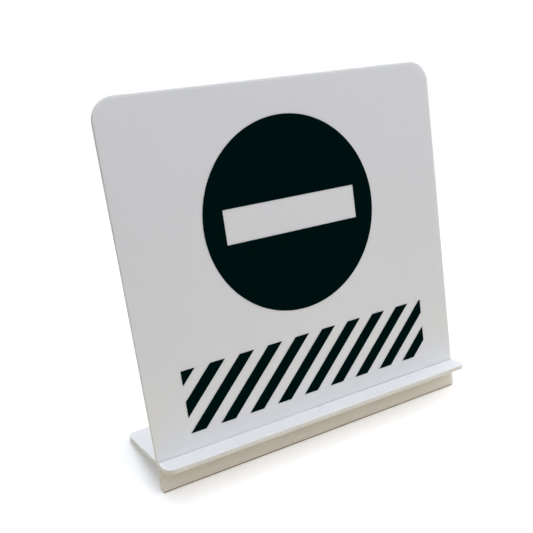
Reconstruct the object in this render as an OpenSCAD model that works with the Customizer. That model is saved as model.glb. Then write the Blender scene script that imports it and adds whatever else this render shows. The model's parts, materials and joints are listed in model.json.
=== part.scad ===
// Leaning table sign made of two flat acrylic sheets.
// The printed panel and the base plate cross at a right angle in a halving joint:
// each sheet is slotted over half of its width and slides into the other's slot.
// The sign stands on the panel's lower back edge and on the base plate's rear edge,
// so the panel leans back. X runs along the width, the front faces -Y, and Z is up.

/* [Sheets] */
// Width of both sheets, whose ends are flush
sign_w = 250; // [210:1:400]
// Thickness of the acrylic
sheet_t = 3; // [2:0.5:5]

/* [Panel] */
// Height of the panel, measured up its own slope
panel_h = 250; // [235:1:400]
// Radius of the panel's two top corners
panel_top_r = 15; // [1:0.5:40]
// Radius of the panel's two bottom corners
panel_foot_r = 1; // [0.5:0.5:6]
// How far the panel reaches below the base plate
foot_h = 18; // [10:1:30]

/* [Base plate] */
// How far the plate stands out in front of the panel
lip_d = 17; // [12:1:40]
// How far the plate reaches behind the panel
tail_d = 60; // [45:1:100]
// Radius of the plate's four corners
plate_r = 7; // [1:0.5:10]

/* [Halving joint] */
// Clearance on each side of a sheet in its slot
slot_gap = 0.1; // [0.05:0.05:0.3]
// Clearance at the closed end of each slot
slot_end_gap = 0.5; // [0.25:0.25:2]

/* [Print] */
// Thickness of the printed film
film_t = 0.1; // [0.05:0.05:0.3]
// Diameter of the round emblem
emblem_d = 132; // [110:1:148]
// Length of the clear bar across the emblem
bar_l = 102; // [60:1:105]
// Height of the clear bar across the emblem
bar_h = 23; // [8:1:34]
// Clear margin between the panel's top edge and the emblem
emblem_margin = 23.5; // [5:0.5:40]
// How far the emblem sits from the panel's middle; to the left is negative
emblem_shift = -1.5; // [-10:0.5:10]
// Length of the striped band
band_l = 198; // [100:1:240]
// Height of the striped band
band_h = 43; // [15:1:55]
// Clear height between the base plate and the band
band_gap = 12; // [3:1:25]
// Number of slanted stripes that start in the band
stripe_count = 9; // [5:1:15]
// Slant of the stripes from upright, in degrees
stripe_slant = 45; // [20:1:60]

/* [Hidden] */
$fn = 128;
cut = 1; // how far a cutting shape runs past the sheet

// The panel leans back until both resting edges touch the ground.
lean = atan(foot_h / tail_d);
plate_d = lip_d + sheet_t + tail_d;

// The origin is under the middle of the sign's bounding box, on the ground.
front_reach = (lip_d + sheet_t) * cos(lean) - foot_h * sin(lean);
back_reach = max(panel_h * sin(lean), tail_d * cos(lean) + (foot_h + sheet_t) * sin(lean));
foot_y = (front_reach - back_reach) / 2;

emblem_v = panel_h - emblem_margin - emblem_d / 2;
band_v = foot_h + sheet_t + band_gap;
stripe_shift = band_h * tan(stripe_slant);
stripe_pitch = band_l / stripe_count;
stripe_w = stripe_pitch / 2;

acrylic = [0.90, 0.91, 0.92];
ink = [0.01, 0.07, 0.07];

// Places a shape drawn in the panel's frame: X along the width, Y up the slope from
// the panel's bottom edge and Z out of its front, with Z = 0 on the panel's back.
module on_panel() {
    translate([0, foot_y, 0]) rotate([90 - lean, 0, 0]) children();
}

// The material outside a rounded corner whose tip is at the origin.
// The corner's sheet lies towards +X and +Y.
module corner_waste(r) {
    difference() {
        translate([-cut, -cut]) square(r + cut);
        translate([r, r]) circle(r);
    }
}

// Rectangle with one radius on its lower corners and one on its upper corners.
module rounded_sheet(w, h, lower_r, upper_r) {
    difference() {
        translate([-w / 2, 0]) square([w, h]);
        for (side = [0, 1]) mirror([side, 0]) {
            translate([-w / 2, 0]) corner_waste(lower_r);
            translate([-w / 2, h]) mirror([0, 1]) corner_waste(upper_r);
        }
    }
}

// Slot from the middle of the sign out past its right end; the sheet that crosses
// there starts at the height low.
module half_slot(low) {
    translate([-slot_end_gap, low - slot_gap])
        square([sign_w / 2 + slot_end_gap + cut, sheet_t + 2 * slot_gap]);
}

module sign_panel() {
    color(acrylic) on_panel() linear_extrude(sheet_t) difference() {
        rounded_sheet(sign_w, panel_h, panel_foot_r, panel_top_r);
        half_slot(foot_h);
    }
}

// The plate is drawn flat with its rear edge on Y = 0 and turned square to the panel.
module base_plate() {
    color(acrylic) on_panel() translate([0, foot_h + sheet_t, -tail_d]) rotate([90, 0, 0])
        linear_extrude(sheet_t) difference() {
            rounded_sheet(sign_w, plate_d, plate_r, plate_r);
            mirror([1, 0]) half_slot(tail_d);
        }
}

// Prohibition disc with the bar left clear.
module emblem_film() {
    color(ink) on_panel() translate([emblem_shift, emblem_v, sheet_t]) linear_extrude(film_t)
        difference() {
            circle(d = emblem_d);
            square([bar_l, bar_h], center = true);
        }
}

// Slanted stripes, trimmed square at both ends of the band.
module stripe_film() {
    first = -ceil(stripe_shift / stripe_pitch);
    color(ink) on_panel() translate([-band_l / 2, band_v, sheet_t]) linear_extrude(film_t)
        intersection() {
            square([band_l, band_h]);
            for (i = [first : stripe_count - 1]) translate([i * stripe_pitch, 0])
                polygon([[0, 0], [stripe_w, 0], [stripe_w + stripe_shift, band_h], [stripe_shift, band_h]]);
        }
}

sign_panel();
base_plate();
emblem_film();
stripe_film();
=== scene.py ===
"""Leaning table sign of two slotted acrylic sheets, dressed for a studio picture.

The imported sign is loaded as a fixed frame. Its two sheets are modelled again with rounded
corners, slots and eased edges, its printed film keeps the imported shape, and every surface
gets a procedural finish.
"""

import json
import math

import bpy
from bpy.props import FloatProperty, FloatVectorProperty, IntProperty, PointerProperty
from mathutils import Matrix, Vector


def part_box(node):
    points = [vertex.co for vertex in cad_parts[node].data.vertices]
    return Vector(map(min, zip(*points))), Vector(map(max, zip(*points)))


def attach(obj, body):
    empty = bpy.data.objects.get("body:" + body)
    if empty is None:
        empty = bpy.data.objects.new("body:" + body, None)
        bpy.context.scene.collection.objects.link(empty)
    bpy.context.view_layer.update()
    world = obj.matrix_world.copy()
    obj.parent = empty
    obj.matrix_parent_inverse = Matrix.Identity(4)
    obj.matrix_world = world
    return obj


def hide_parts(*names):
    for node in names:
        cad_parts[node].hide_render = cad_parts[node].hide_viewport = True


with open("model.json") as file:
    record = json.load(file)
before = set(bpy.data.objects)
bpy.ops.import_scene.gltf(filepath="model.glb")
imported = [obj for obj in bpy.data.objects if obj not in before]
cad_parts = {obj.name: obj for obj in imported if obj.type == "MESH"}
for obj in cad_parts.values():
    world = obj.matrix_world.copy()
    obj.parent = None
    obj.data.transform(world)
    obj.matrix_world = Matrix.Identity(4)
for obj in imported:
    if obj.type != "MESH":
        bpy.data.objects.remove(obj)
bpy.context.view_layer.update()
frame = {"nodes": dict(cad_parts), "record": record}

bl_info = {
    "name": "Leaning Table Sign",
    "version": (1, 0, 0),
    "blender": (4, 5, 0),
    "location": "View3D > Sidebar > Table Sign",
    "description": "Models and lights a leaning table sign made of two acrylic sheets",
    "category": "Object",
}

MM = 0.001

# Above the first cosine an edge runs along a direction, and above the second a face looks
# straight along it.
RUNS_ALONG = 0.99
FACES_SQUARELY = 0.999

# A rim sharper than the first angle is eased, and faces that meet below the second look smooth.
SHARP_RIM = math.radians(40)
SMOOTH_CORNER = math.radians(10)
EASED_EDGE_STEPS = 2

# Noise scales, in cells per metre: clouds, sheen and waves of the acrylic, saw lines of its
# cut edges, and grain of the film
CLOUD_SCALE = 9.0
SHEEN_SCALE = 40.0
WAVE_SCALE = 14.0
SAW_LINE_SCALE = 1400.0
FILM_GRAIN_SCALE = 900.0

# Scales that draw the saw lines out straight through the panel and through the plate
PANEL_LINES = (1, 1, 0.02)
PLATE_LINES = (1, 0.02, 1)

# Nearly all values of a noise texture lie between these two.
NOISE_LOW = 0.3
NOISE_HIGH = 0.7

# Darkest tone of each finish as a share of its colour, and the film's lightest one
CLOUD_TONE = 0.985
SAW_LINE_TONE = 0.95
GRAIN_TONES = (0.9, 1.1)

# Roughness of the finishes, and the distance and strength of each bump
ACRYLIC_ROUGHNESS = (0.10, 0.14)
CUT_EDGE_ROUGHNESS = 0.3
FILM_ROUGHNESS = 0.6
WAVE_BUMP = (0.05 * MM, 0.5)
SAW_LINE_BUMP = (0.02 * MM, 0.4)
FILM_GRAIN_BUMP = (0.01 * MM, 0.3)
ACRYLIC_IOR = 1.49

BLACK = (0, 0, 0)
WHITE = (1, 1, 1)

# The floor's warm bounce fades to a grey one between two distances from the sign's middle.
# Its near patch is an oval, longer to the left and right.
BOUNCE_OVAL = (0.45, 1, 1)
BOUNCE_FADES = (0.09, 0.20)
FAR_BOUNCE = (0.35, 0.35, 0.35)

# Between these distances the lit floor fades to plain white, as the room is.
ROUND = (1, 1, 1)
FLOOR_FADES = (0.3, 0.6)

# How far the painted shadow in the gap under the panel stays inside the foot's sides and ends, and
# the width over which it fades out
GAP_INSET_SIDE = 0.1 * MM
GAP_INSET_END = 1 * MM
GAP_FADES = 0.1 * MM

# Where the room's light comes from. A higher sharpness makes a light narrower.
OVERHEAD = (0, 0, 1)
FROM_RIGHT = (1, 0, 0.47)
FROM_REAR = (0, 1, 0.47)
FROM_FRONT_RIGHT = (0.71, -0.71, 0.3)
OVERHEAD_SHARPNESS = 4
SIDE_SHARPNESS = 8

# Both softboxes are turned to one point above the ground, in the middle of the sign.
SOFTBOX_SIZE = 0.5
SOFTBOX_AIM = (0, 0, 0.1)
FRONT_SOFTBOX_PLACE = (0.15, -0.5, 0.8)
REAR_SOFTBOX_PLACE = (0, 0.4, 0.8)

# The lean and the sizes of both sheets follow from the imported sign: a sheet that leans by
# an angle fills a box whose two sides mix its length and its thickness.
up_slope = next(Vector(m["axis"]) for m in frame["record"]["mounts"] if m["name"] == "top_edge")
LEAN = math.atan2(up_slope.y, up_slope.z)


def length_and_thickness(along, across):
    """Length and thickness of a leaning sheet whose box measures along by across."""
    spread = math.cos(2 * LEAN)
    return (
        (along * math.cos(LEAN) - across * math.sin(LEAN)) / spread,
        (across * math.cos(LEAN) - along * math.sin(LEAN)) / spread,
    )


panel_low, panel_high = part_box("sign_panel")
plate_low, plate_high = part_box("base_plate")
PANEL_H, SHEET_T = length_and_thickness(panel_high.z - panel_low.z, panel_high.y - panel_low.y)
PLATE_D = length_and_thickness(plate_high.y - plate_low.y, plate_high.z - plate_low.z)[0]
SIGN_W = panel_high.x - panel_low.x
FOOT_Y = panel_high.y - PANEL_H * math.sin(LEAN)
rear_reach = plate_high.y - SHEET_T * math.sin(LEAN) - FOOT_Y
TAIL_D = rear_reach * math.cos(LEAN)
FOOT_H = rear_reach * math.sin(LEAN)
LIP_D = PLATE_D - SHEET_T - TAIL_D


class SheetSizes(bpy.types.PropertyGroup):
    """Sizes that shape the two acrylic sheets."""

    top_radius: FloatProperty(
        name="Top Corner Radius",
        description="Radius of the panel's two top corners",
        default=15 * MM,
        unit="LENGTH",
    )
    foot_radius: FloatProperty(
        name="Foot Corner Radius",
        description="Radius of the panel's two bottom corners",
        default=1 * MM,
        unit="LENGTH",
    )
    plate_radius: FloatProperty(
        name="Plate Corner Radius",
        description="Radius of the base plate's four corners",
        default=7 * MM,
        unit="LENGTH",
    )
    corner_steps: IntProperty(
        name="Corner Steps",
        description="Number of faces round each corner",
        default=32,
    )
    slot_gap: FloatProperty(
        name="Slot Clearance",
        description="Clearance on each side of a sheet in its slot",
        default=0.1 * MM,
        unit="LENGTH",
    )
    slot_end_gap: FloatProperty(
        name="Slot End Clearance",
        description="Clearance at the closed end of each slot",
        default=0.5 * MM,
        unit="LENGTH",
    )
    eased_edge: FloatProperty(
        name="Eased Edge",
        description="Width of the polished bevel along every rim",
        default=0.2 * MM,
        unit="LENGTH",
    )


class FinishColours(bpy.types.PropertyGroup):
    """Colours of the sheets and the print, and how milky the acrylic is."""

    acrylic: FloatVectorProperty(
        name="Acrylic",
        description="Colour of the sheets' glossy faces",
        default=(0.833, 0.850, 0.876),
        subtype="COLOR",
    )
    cut_edge: FloatVectorProperty(
        name="Cut Edge",
        description="Colour of the sheets' cut edges",
        default=(0.759, 0.769, 0.771),
        subtype="COLOR",
    )
    film: FloatVectorProperty(
        name="Film",
        description="Colour of the printed film",
        default=(0.0, 0.0078, 0.0081),
        subtype="COLOR",
    )
    scatter_depth: FloatProperty(
        name="Scatter Depth",
        description="How far light spreads inside the acrylic",
        default=2 * MM,
        unit="LENGTH",
    )


class StageSettings(bpy.types.PropertyGroup):
    """Camera, floor and lights."""

    camera_place: FloatVectorProperty(
        name="Camera Place",
        description="Where the camera stands",
        default=(-0.2445, -0.3729, 0.3342),
        subtype="TRANSLATION",
    )
    camera_turn: FloatVectorProperty(
        name="Camera Turn",
        description="How the camera is turned",
        default=(math.radians(62.134), math.radians(-0.178), math.radians(-29.841)),
        subtype="EULER",
    )
    camera_lens: FloatProperty(
        name="Lens",
        description="Focal length in millimetres on a 36 mm wide sensor",
        default=48.9,
    )
    camera_shift: FloatVectorProperty(
        name="Lens Shift",
        description="Shift of the picture across and up, in picture widths",
        size=2,
        default=(0.0, 0.0535),
    )
    floor_size: FloatProperty(
        name="Floor Size",
        description="Side of the square floor",
        default=6.0,
        unit="LENGTH",
    )
    floor_bounce: FloatVectorProperty(
        name="Floor Bounce",
        description="Colour of the light that the floor near the sign throws back on it",
        default=(0.85, 0.722, 0.475),
        subtype="COLOR",
    )
    floor_shown: FloatVectorProperty(
        name="Floor Shown",
        description="Colour in which the picture and reflections show the lit floor near the sign",
        default=(0.90, 0.90, 0.90),
        subtype="COLOR",
    )
    # Painted shadow: a dark brown colour painted on the floor in the gap under the panel's foot,
    # standing in for its contact shadow
    painted_foot_shadow: FloatVectorProperty(
        name="Painted Foot Shadow",
        description="Colour in which the picture shows the floor in the gap under the panel",
        default=(0.35, 0.27, 0.20),
        subtype="COLOR",
    )
    shadow_lift: FloatVectorProperty(
        name="Shadow Lift",
        description="Brightness that is left in the deepest shadow on the floor",
        default=(0.244, 0.249, 0.263),
        subtype="COLOR",
    )
    overhead_glow: FloatVectorProperty(
        name="Overhead Glow",
        description="Light of the room from overhead",
        default=(1.482, 1.529, 1.602),
        subtype="COLOR",
        max=10.0,
    )
    right_glow: FloatVectorProperty(
        name="Right Glow",
        description="Light of the room from the right",
        default=(2.166, 2.235, 2.342),
        subtype="COLOR",
        max=10.0,
    )
    rear_glow: FloatVectorProperty(
        name="Rear Glow",
        description="Light of the room from behind the sign",
        default=(0.735, 0.759, 0.795),
        subtype="COLOR",
        max=10.0,
    )
    front_glow: FloatVectorProperty(
        name="Front Glow",
        description="Light of the room from the front on the right",
        default=(0.752, 0.537, 0.317),
        subtype="COLOR",
        max=10.0,
    )
    softbox_colour: FloatVectorProperty(
        name="Softbox Colour",
        description="Colour of both softboxes",
        default=(0.925, 0.954, 1.0),
        subtype="COLOR",
    )
    front_softbox_power: FloatProperty(
        name="Front Softbox Power",
        description="Power in watts of the softbox above the front",
        default=1.80,
    )
    rear_softbox_power: FloatProperty(
        name="Rear Softbox Power",
        description="Power in watts of the softbox above the rear",
        default=2.15,
    )


def settings():
    """The scene's settings for this sign."""
    return bpy.context.scene.table_sign


def add_block(name, low, high):
    """A block between two corners, with its place in its mesh."""
    low, high = Vector(low), Vector(high)
    bpy.ops.object.select_all(action="DESELECT")
    bpy.ops.mesh.primitive_cube_add(size=1, location=(low + high) / 2, scale=high - low)
    bpy.ops.object.transform_apply(location=True, rotation=True, scale=True)
    block = bpy.context.object
    block.name = block.data.name = name
    return block


def round_corners(piece, direction, wanted, radius, steps):
    """Rounds the edges that run along a direction and whose middle is wanted."""
    bpy.ops.object.mode_set(mode="EDIT")
    bpy.ops.mesh.select_mode(type="EDGE")
    bpy.ops.mesh.select_all(action="DESELECT")
    bpy.ops.object.mode_set(mode="OBJECT")
    mesh = piece.data
    for edge in mesh.edges:
        start, end = (mesh.vertices[i].co for i in edge.vertices)
        runs_along = abs((end - start).normalized().dot(direction)) > RUNS_ALONG
        edge.select = runs_along and wanted((start + end) / 2)
    bpy.ops.object.mode_set(mode="EDIT")
    bpy.ops.mesh.bevel(offset=radius, segments=steps, affect="EDGES")
    bpy.ops.object.mode_set(mode="OBJECT")


def cut_block(piece, low, high):
    """Cuts the block between two corners out of a piece."""
    cutter = add_block("cutter", low, high)
    bpy.ops.object.select_all(action="DESELECT")
    piece.select_set(True)
    bpy.context.view_layer.objects.active = piece
    cut = piece.modifiers.new("Slot", "BOOLEAN")
    cut.operation = "DIFFERENCE"
    cut.solver = "EXACT"
    cut.object = cutter
    bpy.ops.object.modifier_apply(modifier=cut.name)
    bpy.data.meshes.remove(cutter.data)


def ease_edges(piece, width):
    """Bevels every sharp rim of a piece and smooths its rounded corners."""
    ease = piece.modifiers.new("Eased edge", "BEVEL")
    ease.width = width
    ease.segments = EASED_EDGE_STEPS
    ease.limit_method = "ANGLE"
    ease.angle_limit = SHARP_RIM
    bpy.ops.object.modifier_apply(modifier=ease.name)
    bpy.ops.object.shade_smooth_by_angle(angle=SMOOTH_CORNER)


def give_finishes(piece, across, face_finish, edge_finish):
    """Gives the two broad faces one finish and all that lies between them the other."""
    piece.data.materials.append(face_finish)
    piece.data.materials.append(edge_finish)
    for polygon in piece.data.polygons:
        is_broad = abs(polygon.normal.dot(across)) > FACES_SQUARELY
        polygon.material_index = 0 if is_broad else 1


def stand_on_foot(piece):
    """Turns a sheet from the panel's drawing to its leaning place on the ground."""
    piece.rotation_euler.x = math.pi / 2 - LEAN
    piece.location.y = FOOT_Y
    bpy.ops.object.transform_apply(location=True, rotation=True, scale=True)


def new_finish(name):
    """An empty material with its Principled shader, and its node tree."""
    finish = bpy.data.materials.new(name)
    finish.use_nodes = True
    return finish, finish.node_tree, finish.node_tree.nodes["Principled BSDF"]


def sheet_coordinates(tree, scale=(1, 1, 1)):
    """Scaled object coordinates, level with the panel: X across, Y up its slope, Z through."""
    place = tree.nodes.new("ShaderNodeTexCoord")
    level = tree.nodes.new("ShaderNodeMapping")
    level.vector_type = "TEXTURE"
    level.inputs["Rotation"].default_value = (math.pi / 2 - LEAN, 0, 0)
    stretch = tree.nodes.new("ShaderNodeMapping")
    stretch.inputs["Scale"].default_value = scale
    tree.links.new(place.outputs["Object"], level.inputs["Vector"])
    tree.links.new(level.outputs["Vector"], stretch.inputs["Vector"])
    return stretch.outputs["Vector"]


def add_noise(tree, vector, scale, detail=2.0):
    """The value of a noise texture on given coordinates."""
    noise = tree.nodes.new("ShaderNodeTexNoise")
    noise.inputs["Scale"].default_value = scale
    noise.inputs["Detail"].default_value = detail
    tree.links.new(vector, noise.inputs["Vector"])
    return noise.outputs["Fac"]


def add_range(tree, value, low, high):
    """Maps a noise value to a range."""
    spread = tree.nodes.new("ShaderNodeMapRange")
    spread.inputs["From Min"].default_value = NOISE_LOW
    spread.inputs["From Max"].default_value = NOISE_HIGH
    spread.inputs["To Min"].default_value = low
    spread.inputs["To Max"].default_value = high
    tree.links.new(value, spread.inputs["Value"])
    return spread.outputs["Result"]


def add_tones(tree, value, dark, light):
    """Mixes two colours by a noise value."""
    ramp = tree.nodes.new("ShaderNodeValToRGB")
    ramp.color_ramp.elements[0].position = NOISE_LOW
    ramp.color_ramp.elements[0].color = (*dark, 1)
    ramp.color_ramp.elements[1].position = NOISE_HIGH
    ramp.color_ramp.elements[1].color = (*light, 1)
    tree.links.new(value, ramp.inputs["Fac"])
    return ramp.outputs["Color"]


def add_bump(tree, shader, height, distance, strength):
    """Lets a height value shape the shader's normal."""
    bump = tree.nodes.new("ShaderNodeBump")
    bump.inputs["Distance"].default_value = distance
    bump.inputs["Strength"].default_value = strength
    tree.links.new(height, bump.inputs["Height"])
    tree.links.new(bump.outputs["Normal"], shader.inputs["Normal"])


def shade(colour, factor):
    """A colour made darker or lighter by a factor."""
    return tuple(channel * factor for channel in colour)


def scatter_light(shader):
    """Lets light spread inside the milky acrylic and come out again near by."""
    shader.inputs["Subsurface Weight"].default_value = 1.0
    shader.inputs["Subsurface Radius"].default_value = (1.0, 1.0, 1.0)
    shader.inputs["Subsurface Scale"].default_value = settings().colours.scatter_depth
    shader.inputs["IOR"].default_value = ACRYLIC_IOR


def acrylic_finish():
    """Opal white acrylic, glossy, with the slight wave of a cast sheet."""
    colour = tuple(settings().colours.acrylic)
    finish, tree, shader = new_finish("Opal acrylic")
    level = sheet_coordinates(tree)
    cloud = add_noise(tree, level, CLOUD_SCALE)
    tones = add_tones(tree, cloud, shade(colour, CLOUD_TONE), colour)
    tree.links.new(tones, shader.inputs["Base Color"])
    sheen = add_noise(tree, level, SHEEN_SCALE)
    tree.links.new(add_range(tree, sheen, *ACRYLIC_ROUGHNESS), shader.inputs["Roughness"])
    scatter_light(shader)
    add_bump(tree, shader, add_noise(tree, level, WAVE_SCALE, detail=0.0), *WAVE_BUMP)
    return finish


def cut_edge_finish(stretch):
    """Cut edge of the acrylic: darker and less glossy, with fine lines through the sheet."""
    colour = tuple(settings().colours.cut_edge)
    finish, tree, shader = new_finish("Cut edge")
    lines = add_noise(tree, sheet_coordinates(tree, stretch), SAW_LINE_SCALE)
    tones = add_tones(tree, lines, shade(colour, SAW_LINE_TONE), colour)
    tree.links.new(tones, shader.inputs["Base Color"])
    shader.inputs["Roughness"].default_value = CUT_EDGE_ROUGHNESS
    scatter_light(shader)
    add_bump(tree, shader, lines, *SAW_LINE_BUMP)
    return finish


def film_finish():
    """Flat black film with a faint grain."""
    colour = tuple(settings().colours.film)
    finish, tree, shader = new_finish("Black film")
    grain = add_noise(tree, sheet_coordinates(tree), FILM_GRAIN_SCALE)
    dark, light = (shade(colour, tone) for tone in GRAIN_TONES)
    tree.links.new(add_tones(tree, grain, dark, light), shader.inputs["Base Color"])
    shader.inputs["Roughness"].default_value = FILM_ROUGHNESS
    shader.inputs["Specular IOR Level"].default_value = 0.0
    add_bump(tree, shader, grain, *FILM_GRAIN_BUMP)
    return finish


def add_softbox(name, place, power, colour):
    """A square soft light at a place, turned to the sign."""
    lamp = bpy.data.lights.new(name, "AREA")
    lamp.shape = "SQUARE"
    lamp.size = SOFTBOX_SIZE
    lamp.energy = power
    lamp.color = colour
    light = bpy.data.objects.new(name, lamp)
    light.location = place
    towards = Vector(SOFTBOX_AIM) - Vector(place)
    light.rotation_euler = towards.to_track_quat("-Z", "Y").to_euler()
    bpy.context.scene.collection.objects.link(light)


def seen_or_mirrored(tree):
    """1 for rays that the camera or a reflection sends out, 0 for light that bounces."""
    path = tree.nodes.new("ShaderNodeLightPath")
    highest = path.outputs["Is Camera Ray"]
    for kind in ("Is Glossy Ray", "Is Transmission Ray"):
        either = tree.nodes.new("ShaderNodeMath")
        either.operation = "MAXIMUM"
        tree.links.new(highest, either.inputs[0])
        tree.links.new(path.outputs[kind], either.inputs[1])
        highest = either.outputs["Value"]
    return highest


def add_mix(tree, factor, start, end):
    """Mixes two colours, each a plain colour or another node's output."""
    mix = tree.nodes.new("ShaderNodeMix")
    mix.data_type = "RGBA"
    tree.links.new(factor, mix.inputs["Factor"])
    for name, colour in (("A", start), ("B", end)):
        if isinstance(colour, bpy.types.NodeSocket):
            tree.links.new(colour, mix.inputs[name])
        else:
            mix.inputs[name].default_value = (*colour, 1)
    return mix.outputs["Result"]


def add_glow(tree, towards, sharpness, colour):
    """Light of the room that is strongest straight from one side."""
    view = tree.nodes.new("ShaderNodeTexCoord")
    facing = tree.nodes.new("ShaderNodeVectorMath")
    facing.operation = "DOT_PRODUCT"
    facing.inputs[1].default_value = Vector(towards).normalized()
    lit = tree.nodes.new("ShaderNodeMath")
    lit.operation = "MAXIMUM"
    lit.inputs[1].default_value = 0
    soft = tree.nodes.new("ShaderNodeMath")
    soft.operation = "POWER"
    soft.inputs[1].default_value = sharpness
    tint = tree.nodes.new("ShaderNodeVectorMath")
    tint.operation = "SCALE"
    tint.inputs["Vector"].default_value = colour
    tree.links.new(view.outputs["Generated"], facing.inputs[0])
    tree.links.new(facing.outputs["Value"], lit.inputs[0])
    tree.links.new(lit.outputs["Value"], soft.inputs[0])
    tree.links.new(soft.outputs["Value"], tint.inputs["Scale"])
    return tint.outputs["Vector"]


class TABLESIGN_OT_printed_panel(bpy.types.Operator):
    """Models the leaning panel"""

    bl_idname = "table_sign.printed_panel"
    bl_label = "Printed Panel"

    def execute(self, context):
        """Shapes the panel flat, slots its right half and stands it on its foot."""
        sizes = settings().sizes
        through = Vector((0, 0, 1))
        panel = add_block("acrylic_panel", (-SIGN_W / 2, 0, 0), (SIGN_W / 2, PANEL_H, SHEET_T))
        middle = PANEL_H / 2
        round_corners(panel, through, lambda p: p.y > middle, sizes.top_radius, sizes.corner_steps)
        round_corners(
            panel,
            through,
            lambda p: p.y < sizes.foot_radius and abs(p.x) > SIGN_W / 2 - sizes.foot_radius,
            sizes.foot_radius,
            sizes.corner_steps // 4,
        )
        cut_block(
            panel,
            (-sizes.slot_end_gap, FOOT_H - sizes.slot_gap, -SHEET_T),
            (SIGN_W, FOOT_H + SHEET_T + sizes.slot_gap, 2 * SHEET_T),
        )
        ease_edges(panel, sizes.eased_edge)
        give_finishes(panel, through, acrylic_finish(), cut_edge_finish(PANEL_LINES))
        stand_on_foot(panel)
        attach(panel, "root")
        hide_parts("sign_panel")
        return {"FINISHED"}


class TABLESIGN_OT_base_plate(bpy.types.Operator):
    """Models the base plate that crosses the panel"""

    bl_idname = "table_sign.base_plate"
    bl_label = "Base Plate"

    def execute(self, context):
        """Shapes the plate square to the panel, slots its left half and leans it back."""
        sizes = settings().sizes
        through = Vector((0, 1, 0))
        plate = add_block(
            "acrylic_base",
            (-SIGN_W / 2, FOOT_H, -TAIL_D),
            (SIGN_W / 2, FOOT_H + SHEET_T, SHEET_T + LIP_D),
        )
        round_corners(plate, through, lambda p: True, sizes.plate_radius, sizes.corner_steps)
        cut_block(
            plate,
            (-SIGN_W, FOOT_H - SHEET_T, -sizes.slot_gap),
            (sizes.slot_end_gap, FOOT_H + 2 * SHEET_T, SHEET_T + sizes.slot_gap),
        )
        ease_edges(plate, sizes.eased_edge)
        give_finishes(plate, through, acrylic_finish(), cut_edge_finish(PLATE_LINES))
        stand_on_foot(plate)
        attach(plate, "root")
        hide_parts("base_plate")
        return {"FINISHED"}


class TABLESIGN_OT_print(bpy.types.Operator):
    """Gives the emblem and the stripes their film finish"""

    bl_idname = "table_sign.print"
    bl_label = "Print"

    def execute(self, context):
        """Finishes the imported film, whose shape stays as it is."""
        film = film_finish()
        for name in ("emblem_film", "stripe_film"):
            mesh = frame["nodes"][name].data
            mesh.materials.clear()
            mesh.materials.append(film)
        return {"FINISHED"}


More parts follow.
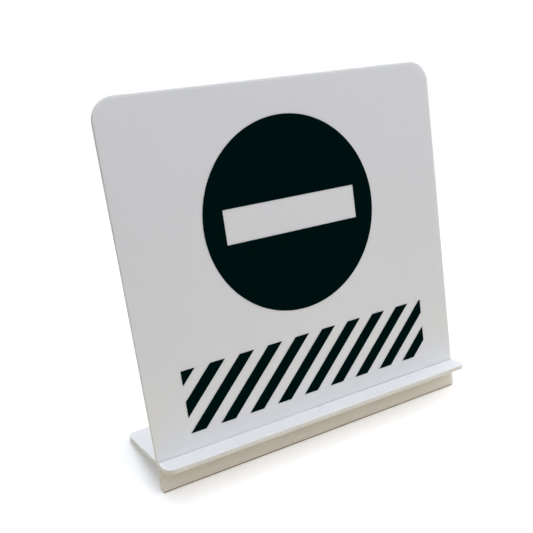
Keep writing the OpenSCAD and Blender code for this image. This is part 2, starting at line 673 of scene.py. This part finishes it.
class TABLESIGN_OT_stage(bpy.types.Operator):
    """Sets up the floor, the lights and the camera"""

    bl_idname = "table_sign.stage"
    bl_label = "Stage"

    def execute(self, context):
        """Builds the pale studio round the sign."""
        stage = settings().stage
        self.add_floor(stage)
        self.light_the_room(context.scene, stage)
        self.add_camera(context.scene, stage)
        context.scene.view_settings.view_transform = "Standard"
        return {"FINISHED"}

    def add_floor(self, stage):
        """A large floor: white to the eye, but one that throws back a warm light near the sign."""
        bpy.ops.object.select_all(action="DESELECT")
        bpy.ops.mesh.primitive_plane_add(size=stage.floor_size)
        floor = bpy.context.object
        floor.name = "studio_floor"
        surface = bpy.data.materials.new("Studio floor")
        surface.use_nodes = True
        tree = surface.node_tree
        tree.nodes.remove(tree.nodes["Principled BSDF"])
        shown = seen_or_mirrored(tree)
        around = self.add_distance(tree, BOUNCE_OVAL, BOUNCE_FADES)
        bounce = add_mix(tree, around, stage.floor_bounce, FAR_BOUNCE)
        far = self.add_distance(tree, ROUND, FLOOR_FADES)
        # Painted shadow: in the gap under the panel's foot the floor shows a dark painted colour
        # instead of its lit colour
        outside_foot_shadow = self.add_distance_from_foot(tree)
        near_colour = add_mix(tree, outside_foot_shadow, stage.painted_foot_shadow, stage.floor_shown)
        seen = add_mix(tree, far, near_colour, BLACK)
        matt = tree.nodes.new("ShaderNodeBsdfDiffuse")
        tree.links.new(add_mix(tree, shown, bounce, seen), matt.inputs["Color"])
        # The shadow lift is taken away in the gap under the foot, which darkens the painted shadow
        # there
        lift = add_mix(tree, outside_foot_shadow, BLACK, stage.shadow_lift)
        glow = tree.nodes.new("ShaderNodeEmission")
        tree.links.new(add_mix(tree, far, lift, WHITE), glow.inputs["Color"])
        tree.links.new(shown, glow.inputs["Strength"])
        both = tree.nodes.new("ShaderNodeAddShader")
        tree.links.new(matt.outputs["BSDF"], both.inputs[0])
        tree.links.new(glow.outputs["Emission"], both.inputs[1])
        tree.links.new(both.outputs["Shader"], tree.nodes["Material Output"].inputs["Surface"])
        floor.data.materials.append(surface)

    def add_distance(self, tree, stretch, fades):
        """0 near the sign's middle, rising to 1 between two distances from it."""
        place = tree.nodes.new("ShaderNodeTexCoord")
        oval = tree.nodes.new("ShaderNodeMapping")
        oval.inputs["Scale"].default_value = stretch
        length = tree.nodes.new("ShaderNodeVectorMath")
        length.operation = "LENGTH"
        rise = tree.nodes.new("ShaderNodeMapRange")
        rise.interpolation_type = "SMOOTHSTEP"
        rise.inputs["From Min"].default_value, rise.inputs["From Max"].default_value = fades
        tree.links.new(place.outputs["Object"], oval.inputs["Vector"])
        tree.links.new(oval.outputs["Vector"], length.inputs[0])
        tree.links.new(length.outputs["Value"], rise.inputs["Value"])
        return rise.outputs["Result"]

    def add_distance_from_foot(self, tree):
        """0 under the panel's foot, where the floor's shadow is painted, rising to 1 at a small
        distance from it.
        """
        gap_d = SHEET_T * math.cos(LEAN) - 2 * GAP_INSET_SIDE
        middle = (0, FOOT_Y - gap_d / 2, 0)
        reach = (SIGN_W / 2 - GAP_INSET_END, gap_d / 2, 0)
        place = tree.nodes.new("ShaderNodeTexCoord")
        point = place.outputs["Object"]
        steps = (
            ("SUBTRACT", middle),
            ("ABSOLUTE", None),
            ("SUBTRACT", reach),
            ("MAXIMUM", (0, 0, 0)),
        )
        for operation, operand in steps:
            step = tree.nodes.new("ShaderNodeVectorMath")
            step.operation = operation
            tree.links.new(point, step.inputs[0])
            if operand:
                step.inputs[1].default_value = operand
            point = step.outputs["Vector"]
        length = tree.nodes.new("ShaderNodeVectorMath")
        length.operation = "LENGTH"
        rise = tree.nodes.new("ShaderNodeMapRange")
        rise.inputs["From Max"].default_value = GAP_FADES
        tree.links.new(point, length.inputs[0])
        tree.links.new(length.outputs["Value"], rise.inputs["Value"])
        return rise.outputs["Result"]

    def light_the_room(self, scene, stage):
        """Soft light from overhead and three sides, white to the camera, and two softboxes."""
        world = bpy.data.worlds.new("Studio room")
        world.use_nodes = True
        scene.world = world
        tree = world.node_tree
        total = add_glow(tree, OVERHEAD, OVERHEAD_SHARPNESS, stage.overhead_glow)
        sides = (
            (FROM_RIGHT, stage.right_glow),
            (FROM_REAR, stage.rear_glow),
            (FROM_FRONT_RIGHT, stage.front_glow),
        )
        for towards, colour in sides:
            both = tree.nodes.new("ShaderNodeVectorMath")
            tree.links.new(total, both.inputs[0])
            side = add_glow(tree, towards, SIDE_SHARPNESS, colour)
            tree.links.new(side, both.inputs[1])
            total = both.outputs["Vector"]
        light = add_mix(tree, seen_or_mirrored(tree), total, WHITE)
        tree.links.new(light, tree.nodes["Background"].inputs["Color"])
        softboxes = (
            ("front_softbox", FRONT_SOFTBOX_PLACE, stage.front_softbox_power),
            ("rear_softbox", REAR_SOFTBOX_PLACE, stage.rear_softbox_power),
        )
        for name, place, power in softboxes:
            add_softbox(name, place, power, stage.softbox_colour)

    def add_camera(self, scene, stage):
        """The camera of the picture."""
        lens = bpy.data.cameras.new("Picture camera")
        lens.lens = stage.camera_lens
        lens.shift_x, lens.shift_y = stage.camera_shift
        camera = bpy.data.objects.new("picture_camera", lens)
        camera.location = stage.camera_place
        camera.rotation_euler = stage.camera_turn
        scene.collection.objects.link(camera)
        scene.camera = camera


class TableSignSettings(bpy.types.PropertyGroup):
    """All that a user would change."""

    sizes: PointerProperty(type=SheetSizes)
    colours: PointerProperty(type=FinishColours)
    stage: PointerProperty(type=StageSettings)


class TABLESIGN_PT_sidebar(bpy.types.Panel):
    """Lists the sign's pieces and settings in the sidebar"""

    bl_label = "Table Sign"
    bl_idname = "TABLESIGN_PT_sidebar"
    bl_space_type = "VIEW_3D"
    bl_region_type = "UI"
    bl_category = "Table Sign"

    def draw(self, context):
        """One button for each operator, then every setting."""
        for operator in OPERATORS:
            self.layout.operator(operator.bl_idname)
        for group in (settings().sizes, settings().colours, settings().stage):
            box = self.layout.box()
            for name in group.__annotations__:
                box.prop(group, name)


GROUPS = (SheetSizes, FinishColours, StageSettings, TableSignSettings)
OPERATORS = (
    TABLESIGN_OT_printed_panel,
    TABLESIGN_OT_base_plate,
    TABLESIGN_OT_print,
    TABLESIGN_OT_stage,
)
CLASSES = (*GROUPS, *OPERATORS, TABLESIGN_PT_sidebar)


def register():
    """Registers the classes and hangs the settings on the scene."""
    for part in CLASSES:
        bpy.utils.register_class(part)
    bpy.types.Scene.table_sign = PointerProperty(type=TableSignSettings)


def unregister():
    """Takes back what register did."""
    del bpy.types.Scene.table_sign
    for part in reversed(CLASSES):
        bpy.utils.unregister_class(part)


def main():
    """Builds the sign and its stage."""
    register()
    bpy.ops.table_sign.printed_panel()
    bpy.ops.table_sign.base_plate()
    bpy.ops.table_sign.print()
    bpy.ops.table_sign.stage()


if __name__ == "__main__":
    main()
